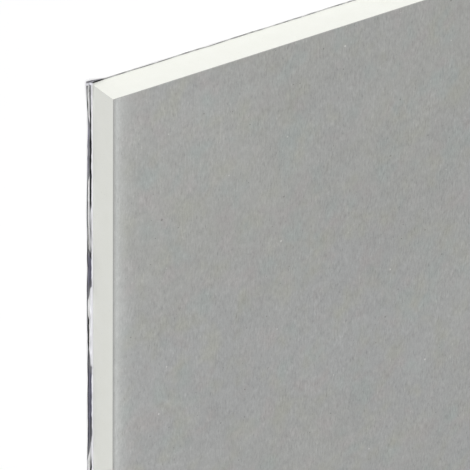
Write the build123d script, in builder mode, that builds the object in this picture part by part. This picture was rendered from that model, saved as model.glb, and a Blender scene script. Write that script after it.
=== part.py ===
from build123d import *
import os

# Foil-backed drywall sheet, lying flat on its foil with the papered face up.
# Sizes are in millimetres. The origin is on the floor under the middle of the sheet:
# X runs across the width, Y along the length and Z out of the face.

# The sheet as it is sold
sheet_width = 1200.0
sheet_length = 2400.0
board_thickness = 12.5

# The two skins that the core is cast between
face_paper_thickness = 0.4
foil_thickness = 0.3

# How far the foil stands past the core
foil_lip_at_long_edge = 1.4
foil_lip_at_end = 0.3

# Layers, worked out from the floor up
core_thickness = board_thickness - face_paper_thickness - foil_thickness
core_underside = foil_thickness
core_top = core_underside + core_thickness

# Foil backing: metallised film on its liner, trimmed a little larger than the core
with BuildPart() as foil_backing:
    with BuildSketch(Plane.XY):
        Rectangle(
            sheet_width + 2 * foil_lip_at_long_edge,
            sheet_length + 2 * foil_lip_at_end,
        )
    extrude(amount=foil_thickness)
foil_backing.part.label = "foil_backing"

# Gypsum core: cut square on all four edges, so that the plaster shows there
with BuildPart() as gypsum_core:
    with BuildSketch(Plane.XY.offset(core_underside)):
        Rectangle(sheet_width, sheet_length)
    extrude(amount=core_thickness)
gypsum_core.part.label = "gypsum_core"

# Face paper: grey liner bonded to the top of the core and cut flush with it
with BuildPart() as face_paper:
    with BuildSketch(Plane.XY.offset(core_top)):
        Rectangle(sheet_width, sheet_length)
    extrude(amount=face_paper_thickness)
face_paper.part.label = "face_paper"

os.makedirs("parts", exist_ok=True)
for layer in (foil_backing, gypsum_core, face_paper):
    export_step(layer.part, f"parts/{layer.part.label}.step")
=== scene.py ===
import math

import bmesh
import bpy
from mathutils import Matrix, Vector


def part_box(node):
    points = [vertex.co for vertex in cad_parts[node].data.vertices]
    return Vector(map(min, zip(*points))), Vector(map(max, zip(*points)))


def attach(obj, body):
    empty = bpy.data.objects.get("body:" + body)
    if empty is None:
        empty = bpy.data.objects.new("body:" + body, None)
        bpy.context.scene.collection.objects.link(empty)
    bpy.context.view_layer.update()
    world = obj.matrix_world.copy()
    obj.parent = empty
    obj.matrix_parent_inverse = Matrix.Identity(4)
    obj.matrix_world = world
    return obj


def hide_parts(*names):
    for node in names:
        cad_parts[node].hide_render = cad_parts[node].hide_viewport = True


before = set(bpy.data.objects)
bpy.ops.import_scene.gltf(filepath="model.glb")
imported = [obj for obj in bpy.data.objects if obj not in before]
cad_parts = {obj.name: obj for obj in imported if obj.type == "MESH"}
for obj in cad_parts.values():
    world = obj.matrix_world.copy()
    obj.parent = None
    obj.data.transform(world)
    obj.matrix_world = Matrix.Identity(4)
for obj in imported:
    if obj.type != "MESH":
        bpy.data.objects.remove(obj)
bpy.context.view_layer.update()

# A foil-backed drywall sheet lying on its foil, papered face up, seen close at one corner.
# Everything is in metres in the sheet's own frame. In the materials, sizes and distances are in millimetres,
# and a pair whose name ends in between says where a ramp starts and where it is full.

MM = 0.001

# The sheet, read from the frame
core_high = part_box("gypsum_core")[1]
paper_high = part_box("face_paper")[1]
foil_low, foil_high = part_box("foil_backing")
half_width = core_high.x
half_length = core_high.y
lip_at_long_edge = foil_high.x - core_high.x
lip_at_end = foil_high.y - core_high.y

# Foil film as modelled here
film_cell = 40 * MM              # squares of film under the board
film_margin = 3 * MM             # the fine border starts this far inside the core's edges
film_edge_cuts = 27              # cuts in each border square's outer edge
film_overlap = 0.4 * MM          # the last row that the core still covers
bare_film_share = 0.12           # past the core the film has no liner, so it is this much as thick
film_floor = 0.06 * MM           # a drooping lip comes to rest this high
film_crease_angle = math.radians(40)  # bends sharper than this stay sharp

# Rows 1 to 6 of the film, from the core's foot outwards: share of the lip at the long edges, share of it at
# the ends, height of the row above the floor, and how loosely the film hangs there
film_rows = (
    (0.02, 0.10, 0.30 * MM, 0.0),   # foot of the core
    (0.03, 0.20, 1.20 * MM, 0.05),  # crest of the fold that lies against the core's edge
    (0.34, 0.45, 0.36 * MM, 0.25),  # crease
    (0.58, 0.62, 0.55 * MM, 1.0),   # hump of the free lip
    (0.82, 0.82, 0.48 * MM, 1.0),
    (1.00, 1.00, 0.36 * MM, 0.9),   # rim
)
fold_share_at_ends = 0.15        # the fold is this much as high at the ends
corner_rim_share = 0.9           # a corner of the rim is what lies past this much of both lips
corner_pull = Vector((0.2 * MM, 1.05 * MM, 0.25 * MM))
corner_pull_reach = 8 * MM

# How the loose lip is crumpled, one push after another: its name, the noise's kind, size and depth, the axis
# that it pushes along, how far, and the noise level that stays in place
lip_crumples = (
    ("lip_waves", "BLENDER_ORIGINAL", 11 * MM, 2, "Z", 0.7 * MM, 0.5),
    ("lip_folds", "VORONOI_F2_F1", 5 * MM, 1, "Z", 0.4 * MM, 0.3),
    ("lip_sway", "ORIGINAL_PERLIN", 24.39 * MM, 0, "X", 0.88 * MM, 0.556),
    ("lip_ragged_x", "BLENDER_ORIGINAL", 8.42 * MM, 2, "X", 0.47 * MM, 0.5),
    ("lip_ragged_y", "BLENDER_ORIGINAL", 5 * MM, 2, "Y", 0.2 * MM, 0.5),
)

# View of the corner, as angles of the upright sheet turned away from the camera
view_yaw = math.radians(36.33)
view_pitch = math.radians(31.11)
view_roll = math.radians(1.38)
aim_in_from_long_edge = 45.6 * MM
aim_in_from_end = 61.9 * MM
camera_distance = 1027.5 * MM
camera_lens = 252.0              # millimetres on a 36 mm sensor

# Light
sky_strength = 0.5
sky_colour = (1.0, 1.0, 1.02, 1.0)
sun_from = Vector((-0.09, 0.313, 0.5))
sun_softness = math.radians(20)
floor_size = 60.0
floor_white = 0.8
floor_lift = 0.2                 # what the floor lacks to pure white where the camera sees it lit


# Small helpers for node trees

def put(tree, kind, inputs=None, **settings):
    """Adds a node, sets its properties, and fills its inputs with values or links."""
    made = tree.nodes.new(kind)
    for name, value in settings.items():
        setattr(made, name, value)
    for name, value in (inputs or {}).items():
        if isinstance(value, bpy.types.NodeSocket):
            tree.links.new(value, made.inputs[name])
        else:
            made.inputs[name].default_value = value
    return made


def math_of(tree, operation, first, second=0.0, third=0.0, clamp=False):
    """One Math node's result."""
    inputs = {0: first, 1: second, 2: third}
    return put(tree, "ShaderNodeMath", inputs, operation=operation, use_clamp=clamp).outputs[0]


def product_of(tree, *values):
    """Several values multiplied."""
    result = values[0]
    for value in values[1:]:
        result = math_of(tree, "MULTIPLY", result, value)
    return result


def sum_of(tree, base, value, share):
    """A base value with a share of another value added."""
    return math_of(tree, "MULTIPLY_ADD", value, share, base)


def factor_of(tree, mask, change):
    """A factor that is 1 where the mask is 0, and 1 plus the change where the mask is 1."""
    return sum_of(tree, 1.0, mask, change)


def ramp_of(tree, value, low, high):
    """A smooth step from 0 at low to 1 at high."""
    inputs = {"Value": value, "From Min": low, "From Max": high}
    return put(tree, "ShaderNodeMapRange", inputs, interpolation_type="SMOOTHSTEP").outputs["Result"]


def blend_of(tree, share, first, second):
    """Two colours mixed by a share."""
    return put(tree, "ShaderNodeMix", {0: share, 6: first, 7: second}, data_type="RGBA").outputs[2]


def shaded(tree, tone, shade):
    """A colour made lighter or darker by a factor."""
    return put(tree, "ShaderNodeVectorMath", {0: tone, "Scale": shade}, operation="SCALE").outputs[0]


def colour(red, green, blue):
    """A colour as seen on screen, 0 to 255, made linear."""
    shares = (red / 255, green / 255, blue / 255)
    return (*(c / 12.92 if c <= 0.04045 else ((c + 0.055) / 1.055) ** 2.4 for c in shares), 1.0)


def new_effect(name, inputs, outputs):
    """An empty node group with named sockets, and the sockets of its input and output nodes."""
    group = bpy.data.node_groups.new(name, "ShaderNodeTree")
    for label, kind, default in inputs:
        socket = group.interface.new_socket(label, in_out="INPUT", socket_type=kind)
        if default is not None:
            socket.default_value = default
    for label, kind in outputs:
        group.interface.new_socket(label, in_out="OUTPUT", socket_type=kind)
    return group, group.nodes.new("NodeGroupInput").outputs, group.nodes.new("NodeGroupOutput").inputs


def effect_of(tree, group, **inputs):
    """Places an effect in a material and fills its inputs. Underscores stand for spaces in their names."""
    spaced = {name.replace("_", " "): value for name, value in inputs.items()}
    return put(tree, "ShaderNodeGroup", spaced, node_tree=group).outputs


# Effects that the materials use

def make_place_on_sheet():
    """Place on the sheet in millimetres, the distance in from its long edges and ends, and the height."""
    group, given, result = new_effect(
        "place_on_sheet",
        [("Half Width", "NodeSocketFloat", None), ("Half Length", "NodeSocketFloat", None)],
        [("Place", "NodeSocketVector"), ("From Long Edge", "NodeSocketFloat"),
         ("From End", "NodeSocketFloat"), ("Height", "NodeSocketFloat")],
    )
    where = put(group, "ShaderNodeTexCoord").outputs["Object"]
    place = put(group, "ShaderNodeVectorMath", {0: where, "Scale": 1 / MM}, operation="SCALE").outputs[0]
    axes = put(group, "ShaderNodeSeparateXYZ", {0: place}).outputs
    across = math_of(group, "ABSOLUTE", axes[0])
    along = math_of(group, "ABSOLUTE", axes[1])
    links = group.links
    links.new(place, result["Place"])
    links.new(math_of(group, "SUBTRACT", given["Half Width"], across), result["From Long Edge"])
    links.new(math_of(group, "SUBTRACT", given["Half Length"], along), result["From End"])
    links.new(axes[2], result["Height"])
    return group


def make_mottle():
    """Cloudy light and dark, stretched to a width across the sheet and a length along it."""
    group, given, result = new_effect(
        "mottle",
        [("Place", "NodeSocketVector", None), ("Width", "NodeSocketFloat", 1.0),
         ("Length", "NodeSocketFloat", 1.0), ("Detail", "NodeSocketFloat", 2.0),
         ("Shift", "NodeSocketFloat", 0.0), ("Depth", "NodeSocketFloat", 0.1)],
        [("Shade", "NodeSocketFloat"), ("Cloud", "NodeSocketFloat")],
    )
    size = put(group, "ShaderNodeCombineXYZ", {0: given["Width"], 1: given["Length"], 2: given["Width"]})
    squeezed = put(group, "ShaderNodeVectorMath", {0: given["Place"], 1: size.outputs[0]}, operation="DIVIDE")
    moved = put(group, "ShaderNodeVectorMath", {0: squeezed.outputs[0], 1: given["Shift"]}, operation="ADD")
    look = {"Vector": moved.outputs[0], "Scale": 1.0, "Detail": given["Detail"], "Roughness": 0.55}
    cloud = put(group, "ShaderNodeTexNoise", look).outputs[0]
    centred = math_of(group, "SUBTRACT", cloud, 0.5)
    group.links.new(factor_of(group, centred, given["Depth"]), result["Shade"])
    group.links.new(cloud, result["Cloud"])
    return group


def make_specks(name, dimensions):
    """Scattered small spots: a few of the cells of a net have one."""
    least_share = 0.5            # the smallest spots are this much of the given size, the largest 1 more
    full_share = 0.3             # a spot is at full strength within this much of its size
    group, given, result = new_effect(
        name,
        [("Place", "NodeSocketVector", None), ("Spacing", "NodeSocketFloat", 5.0),
         ("Size", "NodeSocketFloat", 0.3), ("Share", "NodeSocketFloat", 0.3),
         ("Shift", "NodeSocketFloat", 0.0)],
        [("Mask", "NodeSocketFloat")],
    )
    spaced = put(group, "ShaderNodeVectorMath", {0: given["Place"], 1: given["Spacing"]}, operation="DIVIDE")
    moved = put(group, "ShaderNodeVectorMath", {0: spaced.outputs[0], 1: given["Shift"]}, operation="ADD")
    net = put(group, "ShaderNodeTexVoronoi", {"Vector": moved.outputs[0], "Scale": 1.0},
              voronoi_dimensions=dimensions, feature="F1")
    away = math_of(group, "MULTIPLY", net.outputs["Distance"], given["Spacing"])
    chance = put(group, "ShaderNodeSeparateColor", {0: net.outputs["Color"]}).outputs
    size = math_of(group, "MULTIPLY", given["Size"], math_of(group, "ADD", chance[1], least_share))
    near = ramp_of(group, away, size, math_of(group, "MULTIPLY", size, full_share))
    chosen = math_of(group, "LESS_THAN", chance[0], given["Share"])
    group.links.new(math_of(group, "MULTIPLY", near, chosen), result["Mask"])
    return group


def make_edge_fade():
    """A mask beside a cut edge, thinning with distance; the paper uses it for its painted light and painted
    highlight at the long edges.
    """
    group, given, result = new_effect(
        "edge_fade",
        [("Distance", "NodeSocketFloat", 0.0), ("Reach", "NodeSocketFloat", 3.0),
         ("Cloud", "NodeSocketFloat", 0.5), ("Unevenness", "NodeSocketFloat", 0.3)],
        [("Mask", "NodeSocketFloat")],
    )
    inward = math_of(group, "MAXIMUM", given["Distance"], 0.0)
    reaches = math_of(group, "DIVIDE", math_of(group, "MULTIPLY", inward, -1.0), given["Reach"])
    centred = math_of(group, "SUBTRACT", given["Cloud"], 0.5)
    uneven = factor_of(group, centred, given["Unevenness"])
    group.links.new(product_of(group, math_of(group, "EXPONENT", reaches), uneven), result["Mask"])
    return group


place_on_sheet = make_place_on_sheet()
mottle = make_mottle()
specks = make_specks("specks", "2D")
air_holes = make_specks("air_holes", "3D")
edge_fade = make_edge_fade()


# Helpers for materials

def new_finish(name, **values):
    """A material with one Principled BSDF, whose constant sockets are set here."""
    made = bpy.data.materials.new(name)
    made.use_nodes = True
    tree = made.node_tree
    shader = next(n for n in tree.nodes if n.type == "BSDF_PRINCIPLED")
    for label, value in values.items():
        shader.inputs[label.replace("_", " ")].default_value = value
    return made, tree, shader


def sheet_place(tree):
    """The place effect, sized to this sheet."""
    return effect_of(tree, place_on_sheet, Half_Width=half_width / MM, Half_Length=half_length / MM)


def mottle_of(tree, place, width, length, detail, shift=0.0, depth=0.1):
    """The mottle effect at its size. The shift picks the stretch of noise."""
    return effect_of(tree, mottle, Place=place, Width=width, Length=length, Detail=detail, Shift=shift,
                     Depth=depth)


def edge_fade_of(tree, distance, reach, cloud, unevenness):
    """The mask of the edge fade effect."""
    return effect_of(tree, edge_fade, Distance=distance, Reach=reach, Cloud=cloud,
                     Unevenness=unevenness)["Mask"]


def bump_of(tree, height, strength, distance):
    """A Bump node's normal."""
    inputs = {"Height": height, "Strength": strength, "Distance": distance}
    return put(tree, "ShaderNodeBump", inputs).outputs["Normal"]


# Finish of the face paper

def pulp_tints(tree, place):
    """Tints of the recycled pulp: a slow drift from cool to warm, with patches of other tints."""
    cool = colour(156.2, 157.1, 155.9)
    warm = colour(156.6, 157.1, 153.8)
    warm_between = (0.3, 0.7)
    warmth = mottle_of(tree, place, width=55.0, length=75.0, detail=1.0, shift=376.97)
    tone = blend_of(tree, ramp_of(tree, warmth["Cloud"], *warm_between), cool, warm)

    # Yellowish, pinkish and greenish patches: width, length, shift, cloud where they start and are full, tint
    patches = (
        (11.0, 13.0, 11.9, 0.45, 0.75, colour(156.8, 157.3, 150.4)),
        (9.0, 10.0, 23.4, 0.5, 0.78, colour(158.6, 156.4, 154.4)),
        (10.0, 12.0, 29.1, 0.5, 0.78, colour(153.4, 157.7, 155.0)),
    )
    for width, length, shift, start, full, tint in patches:
        patch = mottle_of(tree, place, width=width, length=length, detail=2.0, shift=shift)
        tone = blend_of(tree, ramp_of(tree, patch["Cloud"], start, full), tone, tint)
    return tone


def pulp_specks(tree, place, tone):
    """The paper's tone with its specks."""
    # Fine dark specks, grit and pale specks: spacing, size, share of cells, shift, strength, tone
    kinds = (
        (9.0, 0.24, 0.25, 2.2, 0.55, colour(84, 84, 78)),
        (22.0, 0.42, 0.3, 14.5, 0.5, colour(96, 95, 90)),
        (22.0, 0.36, 0.3, 9.6, 0.47, colour(222, 222, 217)),
    )
    for spacing, size, share, shift, strength, speck_tone in kinds:
        found = effect_of(tree, specks, Place=place, Spacing=spacing, Size=size, Share=share, Shift=shift)
        tone = blend_of(tree, math_of(tree, "MULTIPLY", found["Mask"], strength), tone, speck_tone)
    return tone


def grey_face_paper():
    """Recycled grey liner: fine streaks along the sheet, faint tints, specks; paler at the long edges with
    painted light and a painted highlight, and painted shade on the arris.
    """
    made, tree, shader = new_finish("grey_face_paper", Specular_IOR_Level=0.25)
    at = sheet_place(tree)
    place = at["Place"]
    from_edge = at["From Long Edge"]
    glare_reach = 30.0            # the painted glare fades over about this width
    highlight_from = 1.3            # the band of painted highlight is palest up to this far in from the edge
    highlight_reach = 2.8           # and fades over about this width
    arris_shade_between = (1.0, 0.2)         # distances in from the edge
    dark_fibres_between = (0.62, 0.74)   # levels of the fibres' cloud
    pale_fibres_between = (0.36, 0.26)
    side_depth = 0.02            # what lies this far below the face is the paper's cut side
    highlight_tint = colour(155.6, 157.2, 154.9)
    side_tone = colour(176, 176, 172)

    # Painted light: a glare makes the paper paler far in from the long edges, and its streaks are evened out
    # there
    clouds = mottle_of(tree, place, width=10.0, length=15.0, detail=3.0, shift=3.1, depth=0.15)
    edge_glare = edge_fade_of(tree, from_edge, glare_reach, clouds["Cloud"], unevenness=0.3)
    patches = mottle_of(tree, place, width=7.0, length=9.0, detail=2.0, shift=41.8, depth=1.9)
    streak_depth = product_of(tree, patches["Shade"], sum_of(tree, 0.505, edge_glare, -0.11))
    streaks = mottle_of(tree, place, width=0.62, length=2.1, detail=3.0, depth=streak_depth)

    # Painted light at the edge: a narrow band beside it is a painted highlight, and the arris itself has a
    # painted dark line of shade
    past_band = math_of(tree, "SUBTRACT", from_edge, highlight_from)
    edge_highlight = edge_fade_of(tree, past_band, highlight_reach, streaks["Cloud"], unevenness=-0.4)
    arris_shade = ramp_of(tree, from_edge, *arris_shade_between)

    # Light and dark, from single fibres to the bands of the paper machine, with the painted glare, highlight
    # and arris shade at the long edges
    grain = mottle_of(tree, place, width=0.4, length=0.5, detail=1.0, shift=7.3, depth=0.2)
    fibres = mottle_of(tree, place, width=0.55, length=2.6, detail=2.0, shift=13.4)
    dark_fibres = ramp_of(tree, fibres["Cloud"], *dark_fibres_between)
    pale_fibres = ramp_of(tree, fibres["Cloud"], *pale_fibres_between)
    flecks = mottle_of(tree, place, width=2.8, length=4.2, detail=2.0, shift=17.6, depth=0.19)
    drift = mottle_of(tree, place, width=160.0, length=420.0, detail=1.0, shift=5.7, depth=0.06)
    formation = mottle_of(tree, place, width=46.0, length=70.0, detail=2.0, shift=2129.01, depth=0.11)
    bands = mottle_of(tree, place, width=110.0, length=1600.0, detail=2.0, shift=1265.73, depth=0.14)
    shade = product_of(
        tree, streaks["Shade"], grain["Shade"], flecks["Shade"], clouds["Shade"], drift["Shade"],
        formation["Shade"], bands["Shade"],
        factor_of(tree, dark_fibres, -0.19),
        factor_of(tree, pale_fibres, 0.16),
        factor_of(tree, edge_highlight, 0.365),
        factor_of(tree, edge_glare, 0.115),
        factor_of(tree, arris_shade, -0.185),
    )

    # The band of painted highlight is blended toward its own tint
    tone = blend_of(tree, edge_highlight, pulp_tints(tree, place), highlight_tint)
    tone = shaded(tree, pulp_specks(tree, place, tone), shade)
    on_side = math_of(tree, "LESS_THAN", at["Height"], paper_high.z / MM - side_depth)
    tree.links.new(blend_of(tree, on_side, tone, side_tone), shader.inputs["Base Color"])
    tree.links.new(sum_of(tree, 0.83, streaks["Cloud"], 0.14), shader.inputs["Roughness"])
    tree.links.new(bump_of(tree, streaks["Cloud"], 0.25, 0.08 * MM), shader.inputs["Normal"])
    return made


# Finish of the core

def gypsum_plaster():
    """Off-white plaster: close fine grain, faint clouds and pinholes left by air in the mix."""
    made, tree, shader = new_finish("gypsum_plaster", Specular_IOR_Level=0.15)
    at = sheet_place(tree)
    place = at["Place"]
    creamy = colour(247, 248, 239.5)
    chalky = colour(246, 247, 240.5)
    foot_between = (3.5, 1.0)    # heights above the floor
    edge_depth = 0.1             # what lies nearer the long edge than this is its cut face
    grain = mottle_of(tree, place, width=0.35, length=0.35, detail=3.0, depth=0.05)
    clouds = mottle_of(tree, place, width=5.0, length=5.0, detail=3.0, shift=4.2, depth=0.05)
    pinholes = effect_of(tree, air_holes, Place=place, Spacing=1.3, Size=0.16, Share=0.35, Shift=1.7)

    # Painted light: the long edges are a little paler at the foot, beside the film's fold, lifting the shade
    # that the fold casts there
    near_foot = ramp_of(tree, at["Height"], *foot_between)
    on_long_edge = ramp_of(tree, at["From Long Edge"], edge_depth, 0.0)
    foot_painted_light = product_of(tree, near_foot, on_long_edge)

    # The pinholes are darkened with painted shade
    shade = product_of(
        tree, grain["Shade"], clouds["Shade"],
        factor_of(tree, pinholes["Mask"], -0.10),
        factor_of(tree, foot_painted_light, 0.05),
    )
    tone = blend_of(tree, clouds["Cloud"], creamy, chalky)
    tree.links.new(shaded(tree, tone, shade), shader.inputs["Base Color"])
    tree.links.new(sum_of(tree, 0.88, grain["Cloud"], 0.1), shader.inputs["Roughness"])
    height = math_of(tree, "SUBTRACT", grain["Cloud"], pinholes["Mask"])
    tree.links.new(bump_of(tree, height, 0.2, 0.05 * MM), shader.inputs["Normal"])
    return made


# Finish of the foil film

def long_edge_lip(tree, at, row):
    """Tone of the lip at the long edges, painted light and shade on the silver: pale, lavender and navy
    stretches of painted reflection, a painted dark rim, painted shadow in the crease, a painted highlight on
    the crest.
    """
    place = at["Place"]
    pale = colour(238, 238, 240)
    lavender = colour(136, 136, 141)
    navy = colour(126, 125, 140)
    rim_shade_tone = colour(30, 30, 34)
    crease_shadow_tone = colour(36, 36, 39)
    soft_crest_highlight = colour(226, 226, 229)
    sharp_crest_highlight = colour(239, 239, 242)
    crest_row = 2.4              # row of the film where the crest ends
    crease_row = 3.1             # row where the crease ends
    rim_row = 4.95               # row where the rim starts
    middle_row = 3.7             # the slant of the stretches turns about this row
    row_blur = 0.15
    tip_between = (7.0, 1.0)     # distances in from the end

    # Levels of the clouds between which the painted reflection turns lavender and navy, the film curls, and
    # it has a painted dark rim and a painted crease shadow
    lavender_between = (0.547, 0.569)
    navy_between = (0.606, 0.63)
    curl_between = (0.56, 0.64)
    rim_between = (0.42, 0.48)
    crease_between = (0.41, 0.53)

    stretches = mottle_of(tree, place, width=32.0, length=32.0, detail=2.0, shift=1384.54)
    folds = mottle_of(tree, place, width=36.0, length=36.0, detail=2.0, shift=7039.62)
    curls = mottle_of(tree, place, width=26.0, length=26.0, detail=2.0, shift=168.92)
    flashes = mottle_of(tree, place, width=5.0, length=5.0, detail=2.0, shift=31.5)
    glints = mottle_of(tree, place, width=0.9, length=3.2, detail=3.0, shift=61.3, depth=0.7)
    near_tip = ramp_of(tree, at["From End"], *tip_between)
    unevenness = math_of(tree, "SUBTRACT", flashes["Cloud"], 0.5)
    wavy_row = sum_of(tree, row, unevenness, 0.9)

    # Stretches of painted reflection along the edge, pale, lavender and navy where in shade, with painted
    # glints; they meet a little aslant
    stretch = sum_of(tree, stretches["Cloud"], unevenness, 0.05)
    stretch = sum_of(tree, stretch, math_of(tree, "SUBTRACT", row, middle_row), 0.028)
    in_shade = ramp_of(tree, stretch, *navy_between)
    lip = blend_of(tree, ramp_of(tree, stretch, *lavender_between), pale, lavender)
    lip = shaded(tree, blend_of(tree, in_shade, lip, navy), glints["Shade"])

    # Painted shade on the rim, wider where the film curls, and missing where it lies flat
    curled = ramp_of(tree, curls["Cloud"], *curl_between)
    curled_row = sum_of(tree, wavy_row, curled, 0.95)
    curled_row = sum_of(tree, curled_row, near_tip, -0.2)
    rim = product_of(
        tree,
        ramp_of(tree, curled_row, rim_row, rim_row + 2 * row_blur),
        ramp_of(tree, curls["Cloud"], *rim_between),
        factor_of(tree, near_tip, -0.3),
    )
    lip = blend_of(tree, rim, lip, rim_shade_tone)

    # Painted shadow in the crease, which comes and goes, and hardly shows in the navy stretches
    creased = ramp_of(tree, sum_of(tree, folds["Cloud"], near_tip, 0.08), *crease_between)
    crease = product_of(
        tree,
        ramp_of(tree, wavy_row, crest_row, crest_row + row_blur),
        ramp_of(tree, wavy_row, crease_row + 2 * row_blur, crease_row),
        creased,
        factor_of(tree, in_shade, -0.8),
    )
    lip = blend_of(tree, crease, lip, crease_shadow_tone)

    # Painted highlight on the crest, brightest beside a crease or a navy stretch
    crest_end = sum_of(tree, crest_row, in_shade, row_blur)
    crest = ramp_of(tree, math_of(tree, "SUBTRACT", wavy_row, crest_end), row_blur, 0.0)
    sharp = math_of(tree, "MAXIMUM", creased, in_shade)
    return blend_of(tree, crest, lip, blend_of(tree, sharp, soft_crest_highlight, sharp_crest_highlight))


def corner_tip(tree, at):
    """Tone of the film's tip at each corner, a painted reflection: pale, with a lavender upper edge."""
    pale = colour(232, 232, 238)
    lavender = colour(136, 135, 141)
    upper_edge_between = (-0.55, -0.8)  # distances in from the end, so these lie past it
    return blend_of(tree, ramp_of(tree, at["From End"], *upper_edge_between), pale, lavender)


def end_lip(tree, at):
    """Tone of the lip at the ends: painted dark reflection in grey dashes, and painted shadow in a gap behind
    each corner, dark below a lavender edge.
    """
    dark_dash = colour(150, 150, 150)
    pale_dash = colour(204, 204, 202)
    gap_shadow = colour(38, 38, 42)
    gap_edge = colour(150, 149, 155)
    dashes_between = (0.36, 0.64)
    gap_between = (5.0, 3.2)             # distances in from the long edge
    upper_edge_between = (-0.4, -0.6)    # distances in from the end, so these lie past it
    # Painted dark reflection in grey dashes along the end lip
    dashes = mottle_of(tree, at["Place"], width=3.0, length=3.0, detail=2.0, shift=52.7)
    dash_reflection = blend_of(tree, ramp_of(tree, dashes["Cloud"], *dashes_between), dark_dash, pale_dash)
    # Painted shadow in the gap behind each corner
    gap = blend_of(tree, ramp_of(tree, at["From End"], *upper_edge_between), gap_shadow, gap_edge)
    return blend_of(tree, ramp_of(tree, at["From Long Edge"], *gap_between), dash_reflection, gap)


def crinkled_film():
    """Metallised film: silver under the board, with painted shadow in its creases, painted reflections and
    highlights in its crumpled lip, and painted shade of its wrinkles.
    """
    made, tree, shader = new_finish("crinkled_film", Metallic=1.0)
    at = sheet_place(tree)
    silver = colour(205, 206, 212)
    lip_blur = 0.5               # the lip's tones fade into the silver over this width
    tip_blur = 0.2
    row = put(tree, "ShaderNodeAttribute", attribute_name="film_row").outputs["Fac"]
    wrinkles_and_shading = mottle_of(tree, at["Place"], width=2.5, length=7.0, detail=4.0, shift=6.1, depth=0.25)
    at_tip = ramp_of(tree, at["From End"], tip_blur, 0.0)
    lip = blend_of(tree, at_tip, long_edge_lip(tree, at, row), corner_tip(tree, at))
    film = blend_of(tree, ramp_of(tree, at["From End"], lip_blur, 0.0), silver, end_lip(tree, at))
    film = blend_of(tree, ramp_of(tree, at["From Long Edge"], lip_blur, 0.0), film, lip)
    # Painted shade of the wrinkles darkens and lightens the film's tone
    tree.links.new(shaded(tree, film, wrinkles_and_shading["Shade"]), shader.inputs["Base Color"])
    tree.links.new(sum_of(tree, 0.18, wrinkles_and_shading["Cloud"], 0.3), shader.inputs["Roughness"])
    tree.links.new(bump_of(tree, wrinkles_and_shading["Cloud"], 0.4, 0.5 * MM), shader.inputs["Normal"])
    return made


# The foil, modelled as a film with a crumpled lip

def select_places(piece, wanted):
    """In edit mode, selects the vertices whose place passes a test."""
    bpy.ops.mesh.select_mode(type="VERT")
    mesh = bmesh.from_edit_mesh(piece.data)
    for vertex in mesh.verts:
        vertex.select = wanted(vertex.co)
    mesh.select_flush_mode()
    bmesh.update_edit_mesh(piece.data)


def select_outer_edge():
    """In edit mode, selects the outer edge of the film."""
    bpy.ops.mesh.select_all(action="SELECT")
    bpy.ops.mesh.region_to_loop()


def weigh(group, weight):
    """Gives the selected vertices their weight in a group."""
    bpy.ops.object.vertex_group_set_active(group=group)
    bpy.context.scene.tool_settings.vertex_group_weight = weight
    bpy.ops.object.vertex_group_assign()


def flat_film():
    """Squares of film under the board, with a finely cut outer edge. Leaves it in edit mode."""
    bpy.ops.object.select_all(action="DESELECT")
    bpy.ops.mesh.primitive_grid_add(
        x_subdivisions=round(2 * half_width / film_cell),
        y_subdivisions=round(2 * half_length / film_cell),
        size=2,
    )
    foil = bpy.context.object
    foil.name = "foil_film"
    foil.data.name = "foil_film"
    foil.vertex_groups.new(name="loose")
    foil.vertex_groups.new(name="bare")
    foil.data.attributes.active = foil.data.attributes.new("film_row", "FLOAT", "POINT")
    bpy.ops.object.mode_set(mode="EDIT")
    bpy.ops.transform.resize(value=(half_width - film_margin, half_length - film_margin, 1))
    bpy.ops.transform.translate(value=(0, 0, foil_high.z))
    bpy.ops.mesh.select_mode(type="EDGE")
    select_outer_edge()
    bpy.ops.mesh.subdivide(number_cuts=film_edge_cuts)
    return foil


def extrude_lip():
    """In edit mode, extrudes the film's outer edge row by row, from under the core to the rim."""
    select_outer_edge()
    here = Vector((half_width - film_margin, half_length - film_margin, foil_high.z))
    rows = [(Vector((half_width - film_overlap, half_length - film_overlap, foil_high.z)), 0.0, 0.0)]
    for long_edge_share, end_share, height, looseness in film_rows:
        past = Vector((long_edge_share * lip_at_long_edge, end_share * lip_at_end, 0))
        rows.append((Vector((half_width, half_length, height)) + past, looseness, 1.0))
    for number, (there, looseness, bareness) in enumerate(rows):
        bpy.ops.mesh.extrude_region()
        bpy.ops.transform.resize(value=(there.x / here.x, there.y / here.y, 1), center_override=(0, 0, 0))
        bpy.ops.transform.translate(value=(0, 0, there.z - here.z))
        weigh("loose", looseness)
        weigh("bare", bareness)
        bpy.ops.mesh.attribute_set(value_float=number)
        here = there


def draw_out_corners(foil):
    """In edit mode, draws each corner of the rim out to a tip."""
    corner_rim = Vector((half_width, half_length, 0))
    corner_rim += corner_rim_share * Vector((lip_at_long_edge, lip_at_end, 0))
    for side_x in (-1, 1):
        for side_y in (-1, 1):
            select_places(foil, lambda at: at.x * side_x > corner_rim.x and at.y * side_y > corner_rim.y)
            bpy.ops.transform.translate(
                value=(corner_pull.x * side_x, corner_pull.y * side_y, corner_pull.z),
                use_proportional_edit=True,
                use_proportional_connected=True,
                proportional_edit_falloff="SMOOTH",
                proportional_size=corner_pull_reach,
            )


def crumple(foil, name, basis, size, depth, direction, strength, level):
    """Pushes the loose film about with a noise, along one axis, and applies it."""
    noise = bpy.data.textures.new(name, "CLOUDS")
    noise.noise_basis = basis
    noise.noise_scale = size
    noise.noise_depth = depth
    push = foil.modifiers.new(name, "DISPLACE")
    push.texture = noise
    push.texture_coords = "LOCAL"
    push.direction = direction
    push.strength = strength
    push.mid_level = level
    push.vertex_group = "loose"
    bpy.ops.object.modifier_apply(modifier=push.name)


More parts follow.
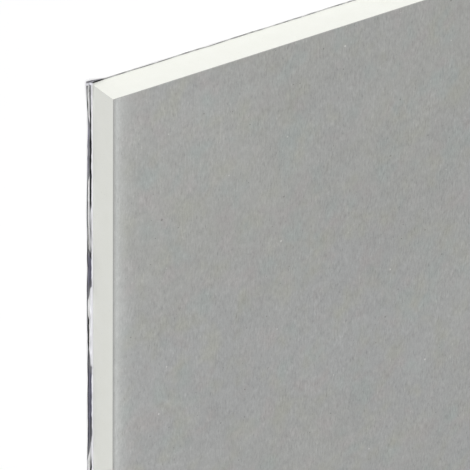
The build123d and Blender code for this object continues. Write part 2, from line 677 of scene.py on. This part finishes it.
def thicken(foil):
    """Gives the film its thickness, downwards: with its liner under the board, bare past the core."""
    wall = foil.modifiers.new("film_thickness", "SOLIDIFY")
    wall.thickness = foil_high.z - foil_low.z
    wall.offset = -1
    wall.vertex_group = "bare"
    wall.invert_vertex_group = True
    wall.thickness_vertex_group = bare_film_share
    bpy.ops.object.modifier_apply(modifier=wall.name)


def foil_film():
    """The film: flat squares under the board, a fine border, and a crumpled lip past the core."""
    foil = flat_film()
    extrude_lip()

    # The fold is low at the ends
    select_places(foil, lambda at: abs(at.y) > half_length and abs(at.x) < half_width)
    bpy.ops.transform.resize(value=(1, 1, fold_share_at_ends), center_override=(0, 0, foil_high.z))

    draw_out_corners(foil)
    bpy.ops.object.mode_set(mode="OBJECT")
    for push in lip_crumples:
        crumple(foil, *push)

    # Film that droops lies on the floor
    bpy.ops.object.mode_set(mode="EDIT")
    select_places(foil, lambda at: at.z < film_floor)
    bpy.ops.transform.resize(value=(1, 1, 0), center_override=(0, 0, film_floor))
    bpy.ops.object.mode_set(mode="OBJECT")

    thicken(foil)
    bpy.ops.object.shade_smooth_by_angle(angle=film_crease_angle)
    return foil


# Stage: floor, light and camera

def seen_directly(tree):
    """1 where the camera, a mirror or clear glass looks, 0 where light bounces."""
    path = put(tree, "ShaderNodeLightPath").outputs
    seen = math_of(tree, "ADD", path["Is Camera Ray"], path["Is Glossy Ray"])
    return math_of(tree, "ADD", seen, path["Is Transmission Ray"], clamp=True)


def pale_floor():
    """A matt floor that takes the sheet's shadow, and looks pure white where it is fully lit."""
    bpy.ops.object.select_all(action="DESELECT")
    bpy.ops.mesh.primitive_plane_add(size=floor_size)
    floor = bpy.context.object
    floor.name = "floor"
    made = bpy.data.materials.new("floor_white")
    made.use_nodes = True
    tree = made.node_tree
    tree.nodes.clear()
    matt = put(tree, "ShaderNodeBsdfDiffuse", {"Color": (floor_white, floor_white, floor_white, 1)})
    lift_strength = math_of(tree, "MULTIPLY", seen_directly(tree), floor_lift)
    lift = put(tree, "ShaderNodeEmission", {"Strength": lift_strength})
    both = put(tree, "ShaderNodeAddShader", {0: matt.outputs[0], 1: lift.outputs[0]})
    put(tree, "ShaderNodeOutputMaterial", {"Surface": both.outputs[0]})
    floor.data.materials.append(made)


def studio_light():
    """A soft sky that looks white where it is seen, and one broad light from above and past the near end."""
    world = bpy.data.worlds.new("soft_studio")
    bpy.context.scene.world = world
    world.use_nodes = True
    tree = world.node_tree
    sky = next(n for n in tree.nodes if n.type == "BACKGROUND")
    sky.inputs["Color"].default_value = sky_colour
    strength = sum_of(tree, sky_strength, seen_directly(tree), 1 - sky_strength)
    tree.links.new(strength, sky.inputs["Strength"])
    bpy.ops.object.select_all(action="DESELECT")
    bpy.ops.object.light_add(type="SUN")
    sun = bpy.context.object
    sun.name = "window_light"
    sun.data.energy = math.pi * sun_from.length
    sun.data.angle = sun_softness
    sun.rotation_euler = sun_from.to_track_quat("Z", "Y").to_euler()


def corner_camera():
    """Looks at the corner as at an upright sheet: yaw and pitch turn it, roll levels it."""
    right = Vector((math.cos(view_yaw), 0, math.sin(view_yaw)))
    toward = Vector((
        -math.sin(view_yaw) * math.cos(view_pitch),
        math.sin(view_pitch),
        math.cos(view_yaw) * math.cos(view_pitch),
    ))
    up = toward.cross(right)
    level_right = math.cos(view_roll) * right + math.sin(view_roll) * up
    level_up = math.cos(view_roll) * up - math.sin(view_roll) * right
    aim = Vector((-half_width + aim_in_from_long_edge, half_length - aim_in_from_end, paper_high.z))
    bpy.ops.object.camera_add()
    camera = bpy.context.object
    camera.name = "camera"
    camera.data.lens = camera_lens
    camera.data.clip_end = 2 * floor_size
    turned = Matrix((level_right, level_up, toward)).transposed().to_4x4()
    camera.matrix_world = Matrix.Translation(aim + camera_distance * toward) @ turned
    bpy.context.scene.camera = camera


def dress(piece, finish):
    """Gives a piece its one material."""
    piece.data.materials.clear()
    piece.data.materials.append(finish)


bpy.context.scene.view_settings.view_transform = "Standard"
dress(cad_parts["face_paper"], grey_face_paper())
dress(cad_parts["gypsum_core"], gypsum_plaster())

foil = foil_film()
dress(foil, crinkled_film())
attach(foil, "root")
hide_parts("foil_backing")

pale_floor()
studio_light()
corner_camera()
